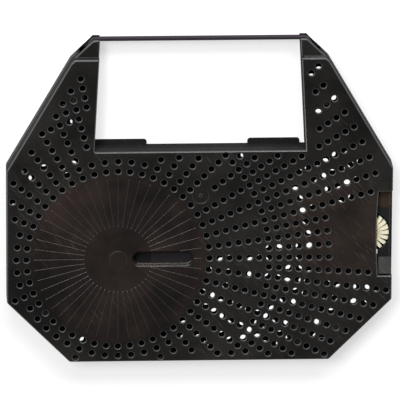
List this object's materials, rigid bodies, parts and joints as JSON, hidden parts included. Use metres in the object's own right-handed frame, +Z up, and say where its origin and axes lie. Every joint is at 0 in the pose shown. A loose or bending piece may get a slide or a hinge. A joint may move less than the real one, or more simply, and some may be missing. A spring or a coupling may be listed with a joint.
{
  "type": "correctable typewriter ribbon cassette",
  "caption": "Flat two-horned cassette that holds a one-use film ribbon, with a perforated cover, a bare film span across its window and a thumb wheel that advances it.",
  "frame": {"origin": "centre of the bounding box, on the underside that the cassette rests on", "axes": "+X to the wheel's side, +Y towards the window and the film span, +Z up out of the perforated cover"},
  "size_m": [0.165, 0.1422, 0.0128],
  "materials": {
    "black_plastic": "satin",
    "insert_plastic": "matte",
    "ivory_plastic": "satin",
    "core_plastic": "matte",
    "arm_plastic": "matte",
    "film": "gloss",
    "roller_rubber": "matte",
    "felt": "matte",
    "spring_steel": "satin",
    "pin_steel": "satin"
  },
  "bodies": {
    "case": {"base_shell": "black_plastic", "cover": "black_plastic", "wheel_notch_insert": "insert_plastic", "friction_felt": "felt", "left_roller_pin": "pin_steel", "right_roller_pin": "pin_steel", "arm_spring": "spring_steel", "tension_leaf": "spring_steel", "tension_pad": "felt", "wall_pad": "felt", "film_left_run": "film", "film_span": "film", "film_right_run": "film"},
    "supply": {"supply_core": "core_plastic", "supply_roll": "film"},
    "arm": {"take_up_arm": "arm_plastic"},
    "take_up": {"take_up_core": "core_plastic"},
    "drive_wheel": {"thumb_wheel": "ivory_plastic", "spiked_roller": "roller_rubber"},
    "left_guide": {"left_guide_roller": "core_plastic"},
    "right_guide": {"right_guide_roller": "core_plastic"}
  },
  "joints": [
    {"name": "supply_spin", "type": "hinge", "parent": "case", "child": "supply", "pos_m": [-0.035, -0.02505, 0.0046], "axis": [0, 0, 1], "continuous": true},
    {"name": "take_up_arm_swing", "type": "hinge", "parent": "case", "child": "arm", "pos_m": [0.0425, -0.0621, 0.0046], "axis": [0, 0, 1], "range_deg": [0, 29], "stiffness_Nm_per_rad": 0.002, "springref_deg": -28.65},
    {"name": "take_up_spin", "type": "hinge", "parent": "arm", "child": "take_up", "pos_m": [0.05825, -0.0149, 0.0046], "axis": [0, 0, 1], "continuous": true},
    {"name": "drive_wheel_spin", "type": "hinge", "parent": "case", "child": "drive_wheel", "pos_m": [0.0729, -0.0149, 0.0046], "axis": [0, 0, 1], "continuous": true},
    {"name": "left_guide_spin", "type": "hinge", "parent": "case", "child": "left_guide", "pos_m": [-0.0761, 0.0138, 0.0046], "axis": [0, 0, 1], "continuous": true},
    {"name": "right_guide_spin", "type": "hinge", "parent": "case", "child": "right_guide", "pos_m": [0.0761, 0.0138, 0.0046], "axis": [0, 0, 1], "continuous": true}
  ],
  "couplings": [
    {"joint": "take_up_spin", "follows": "supply_spin", "ratio": 4},
    {"joint": "drive_wheel_spin", "follows": "supply_spin", "ratio": -5.6667},
    {"joint": "left_guide_spin", "follows": "supply_spin", "ratio": 11.333},
    {"joint": "right_guide_spin", "follows": "supply_spin", "ratio": 11.333}
  ]
}
